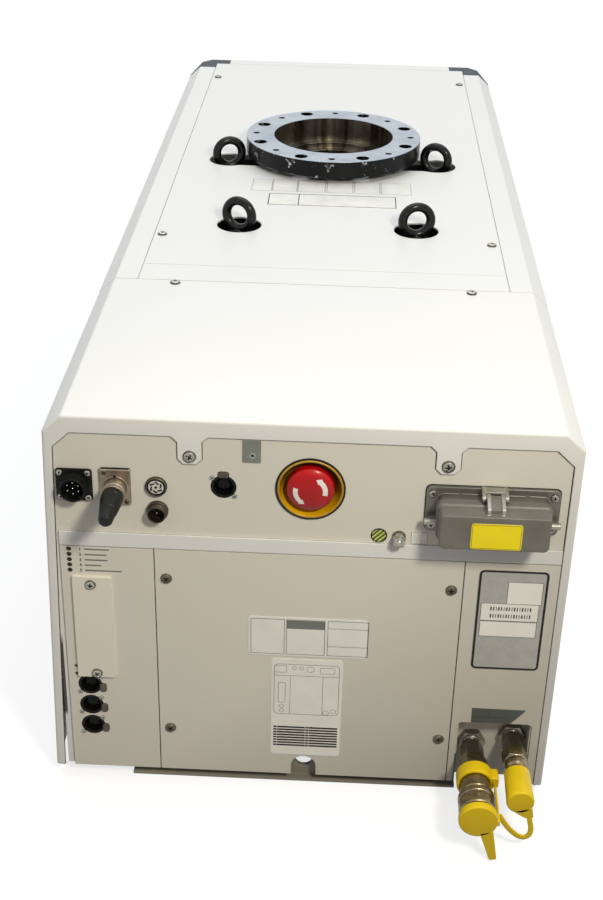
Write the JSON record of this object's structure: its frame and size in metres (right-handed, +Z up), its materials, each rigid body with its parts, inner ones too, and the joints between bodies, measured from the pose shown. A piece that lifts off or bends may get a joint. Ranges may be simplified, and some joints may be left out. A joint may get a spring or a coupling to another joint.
{
  "type": "vacuum booster pump",
  "caption": "Cased vacuum booster pump: two-lobed rotors with timing gears and a canned motor in a low white case, inlet flange on top, connector panel and water couplings in front.",
  "frame": {"origin": "on the underside of the base frame, at the middle of its centre cross beam", "axes": "+X to the right seen from the front, +Y from the front panel to the rear along the shafts, +Z up out of the inlet"},
  "size_m": [0.4823, 1.3184, 0.438],
  "materials": {
    "frame_paint": "powder coat, light grey",
    "case_paint": "powder coat, warm white, fine texture",
    "panel_paint": "powder coat, light grey beige",
    "guard_plastic": "moulded, matte",
    "zinc_steel": "zinc plated",
    "black_anodised": "black, satin",
    "nickel": "dull nickel plate",
    "boot_rubber": "matte",
    "socket_plastic": "moulded",
    "tab_metal": "pressed",
    "stop_yellow": "moulded",
    "stop_red": "moulded",
    "die_cast_paint": "die cast, grey enamel",
    "lens_plastic": "dark lens, unlit",
    "plate_film": "satin film",
    "brass": "worn brass",
    "cap_rubber": "soft yellow moulding",
    "hose_rubber": "matte",
    "cast_iron": "cast, black paint",
    "flange_steel": "turned face, black painted rim",
    "motor_aluminium": "cast, bead blasted",
    "rotor_iron": "machined",
    "gear_steel": "ground",
    "eyebolt_paint": "forged, black finish"
  },
  "bodies": {
    "root": {"base_frame": "frame_paint", "blank_plates": "plate_film", "cap_strap": "cap_rubber", "casing_bolts": "zinc_steel", "centre_panel": "panel_paint", "connector_panel": "panel_paint", "cooling_hoses": "hose_rubber", "corner_guards": "guard_plastic", "cover_screws": "zinc_steel", "drive_unit": "motor_aluminium", "earth_fittings": "zinc_steel", "eyebolts": "eyebolt_paint", "front_end_plate": "cast_iron", "front_hood": "case_paint", "gear_cover": "motor_aluminium", "inlet_flange": "flange_steel", "latch_sockets": "socket_plastic", "left_panel": "panel_paint", "motor_housing": "motor_aluminium", "pin_socket": "black_anodised", "plug_socket": "nickel", "plug_strap": "cap_rubber", "power_insert": "socket_plastic", "power_socket": "die_cast_paint", "rear_end_plate": "cast_iron", "rear_panel": "case_paint", "right_panel": "panel_paint", "round_sockets": "nickel", "shaft_bearings": "gear_steel", "shaft_seals": "boot_rubber", "side_cover_left": "case_paint", "side_cover_right": "case_paint", "slot_cover": "panel_paint", "stator": "cast_iron", "status_lights": "lens_plastic", "stop_collar": "stop_yellow", "top_panel": "case_paint", "upper_frame": "frame_paint", "valve_spring": "gear_steel", "water_fittings": "brass", "water_pan": "panel_paint"},
    "drive_line": {"drive_rotor": "rotor_iron", "drive_gear": "gear_steel", "drive_inner_rings": "gear_steel", "motor_rotor": "rotor_iron"},
    "driven_line": {"driven_rotor": "rotor_iron", "driven_gear": "gear_steel", "driven_inner_rings": "gear_steel"},
    "stop_stem": {"stop_plunger": "socket_plastic"},
    "stop_head": {"stop_button": "stop_red"},
    "plug_body": {"interlock_plug": "boot_rubber"},
    "lid": {"power_lid": "die_cast_paint"},
    "tab_upper": {"latch_tab_upper": "tab_metal"},
    "tab_first": {"latch_tab_first": "tab_metal"},
    "tab_second": {"latch_tab_second": "tab_metal"},
    "tab_third": {"latch_tab_third": "tab_metal"},
    "sleeve": {"coupling_sleeve": "brass"},
    "water_plug": {"dust_plug": "cap_rubber"},
    "water_cap": {"dust_cap": "cap_rubber"},
    "poppet": {"valve_poppet": "gear_steel"}
  },
  "joints": [
    {"name": "drive_turn", "type": "hinge", "parent": "root", "child": "drive_line", "pos_m": [-0.05625, 0.1445, 0.205], "axis": [0, 1, 0], "continuous": true},
    {"name": "driven_turn", "type": "hinge", "parent": "root", "child": "driven_line", "pos_m": [0.05625, 0.1445, 0.205], "axis": [0, 1, 0], "continuous": true},
    {"name": "stop_press", "type": "slide", "parent": "root", "child": "stop_stem", "axis": [0, 1, 0], "range_m": [0, 0.005]},
    {"name": "stop_twist", "type": "hinge", "parent": "stop_stem", "child": "stop_head", "pos_m": [-0.0005, -0.596, 0.3395], "axis": [0, 1, 0], "range_deg": [0, 40], "stiffness_Nm_per_rad": 0.1},
    {"name": "plug_pull", "type": "slide", "parent": "root", "child": "plug_body", "axis": [0, -1, 0], "range_m": [0, 0.024]},
    {"name": "lid_hinge", "type": "hinge", "parent": "root", "child": "lid", "pos_m": [0.1597, -0.615, 0.347], "axis": [-1, 0, 0], "range_deg": [0, 110]},
    {"name": "upper_tab_press", "type": "slide", "parent": "root", "child": "tab_upper", "axis": [0, 1, 0], "range_m": [0, 0.0012], "stiffness_N_per_m": 300},
    {"name": "first_tab_press", "type": "slide", "parent": "root", "child": "tab_first", "axis": [0, 1, 0], "range_m": [0, 0.0012], "stiffness_N_per_m": 300},
    {"name": "second_tab_press", "type": "slide", "parent": "root", "child": "tab_second", "axis": [0, 1, 0], "range_m": [0, 0.0012], "stiffness_N_per_m": 300},
    {"name": "third_tab_press", "type": "slide", "parent": "root", "child": "tab_third", "axis": [0, 1, 0], "range_m": [0, 0.0012], "stiffness_N_per_m": 300},
    {"name": "sleeve_slide", "type": "slide", "parent": "root", "child": "sleeve", "axis": [0, 1, 0], "range_m": [0, 0.008], "stiffness_N_per_m": 1500},
    {"name": "water_plug_pull", "type": "slide", "parent": "root", "child": "water_plug", "axis": [0, -1, 0], "range_m": [0, 0.036]},
    {"name": "water_cap_pull", "type": "slide", "parent": "root", "child": "water_cap", "axis": [0, -1, 0], "range_m": [0, 0.036]},
    {"name": "poppet_lift", "type": "slide", "parent": "root", "child": "poppet", "axis": [0, 0, 1], "range_m": [0, 0.012], "stiffness_N_per_m": 3000, "springref_m": -0.01, "deforming": ["valve_spring"]}
  ],
  "couplings": [
    {"joint": "driven_turn", "follows": "drive_turn", "ratio": -1}
  ]
}
